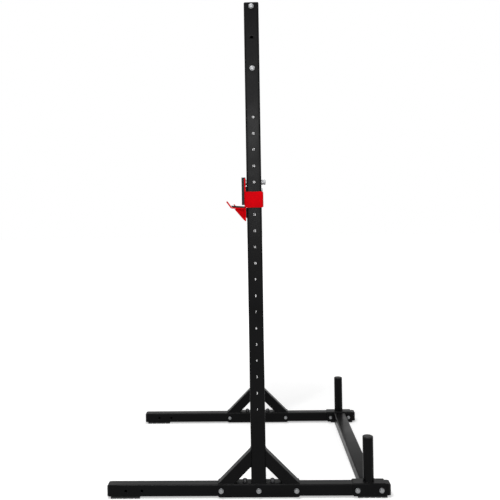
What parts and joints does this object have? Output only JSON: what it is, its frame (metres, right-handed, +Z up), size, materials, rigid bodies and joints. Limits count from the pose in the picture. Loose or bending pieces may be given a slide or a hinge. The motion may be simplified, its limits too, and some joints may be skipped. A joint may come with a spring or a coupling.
{
  "type": "squat stand",
  "caption": "Tall twin-upright squat stand on floor rails, with twist-in bar hooks, a pull-up bar, braces and plate storage posts.",
  "frame": {"origin": "on the floor, at the middle of the base and midway between the uprights", "axes": "+Z up, +X towards the plate posts at the rear, -Y is the left side"},
  "size_m": [1.3346, 1.1442, 2.33],
  "materials": {
    "black_coat": "satin black powder coat",
    "red_coat": "satin red powder coat",
    "zinc": "bright zinc plate",
    "dark_steel": "blackened steel",
    "black_plastic": "matt moulded",
    "black_rubber": "matt moulded"
  },
  "bodies": {
    "frame": {"left_rail": "black_coat", "left_saddle": "black_coat", "left_brace_front": "black_coat", "left_brace_rear": "black_coat", "left_post_bracket": "black_coat", "left_plate_post": "black_coat", "left_upright": "black_coat", "left_foot_front": "black_rubber", "left_foot_rear": "black_rubber", "left_rail_plug_front": "black_plastic", "left_rail_plug_rear": "black_plastic", "left_post_plug": "black_plastic", "left_upright_plug": "black_plastic", "left_saddle_bolt_front": "zinc", "left_saddle_bolt_middle": "zinc", "left_saddle_bolt_rear": "zinc", "left_bracket_bolt_front": "zinc", "left_bracket_bolt_rear": "zinc", "left_bar_bolt_lower": "zinc", "left_bar_bolt_upper": "zinc", "left_anchor_bolt_front": "dark_steel", "left_anchor_bolt_rear": "dark_steel", "right_rail": "black_coat", "right_saddle": "black_coat", "right_brace_front": "black_coat", "right_brace_rear": "black_coat", "right_post_bracket": "black_coat", "right_plate_post": "black_coat", "right_upright": "black_coat", "right_foot_front": "black_rubber", "right_foot_rear": "black_rubber", "right_rail_plug_front": "black_plastic", "right_rail_plug_rear": "black_plastic", "right_post_plug": "black_plastic", "right_upright_plug": "black_plastic", "right_saddle_bolt_front": "zinc", "right_saddle_bolt_middle": "zinc", "right_saddle_bolt_rear": "zinc", "right_bracket_bolt_front": "zinc", "right_bracket_bolt_rear": "zinc", "right_bar_bolt_lower": "zinc", "right_bar_bolt_upper": "zinc", "right_anchor_bolt_front": "dark_steel", "right_anchor_bolt_rear": "dark_steel", "pull_up_bar": "black_coat", "rear_crossmember": "black_coat"},
    "left_hook": {"left_hook_plate": "red_coat", "left_hook_shelf": "red_coat", "left_hook_gusset": "red_coat", "left_hook_pin": "zinc", "left_hook_back_liner": "black_plastic", "left_hook_shelf_liner": "black_plastic", "left_hook_bumper": "black_rubber"},
    "right_hook": {"right_hook_plate": "red_coat", "right_hook_shelf": "red_coat", "right_hook_gusset": "red_coat", "right_hook_pin": "zinc", "right_hook_back_liner": "black_plastic", "right_hook_shelf_liner": "black_plastic", "right_hook_bumper": "black_rubber"}
  },
  "joints": [
    {"name": "left_hook_twist", "type": "hinge", "parent": "frame", "child": "left_hook", "pos_m": [0.015, -0.53, 1.4838], "axis": [-1, 0, 0], "range_deg": [0, 112]},
    {"name": "right_hook_twist", "type": "hinge", "parent": "frame", "child": "right_hook", "pos_m": [0.015, 0.53, 1.4838], "axis": [1, 0, 0], "range_deg": [0, 112]}
  ]
}
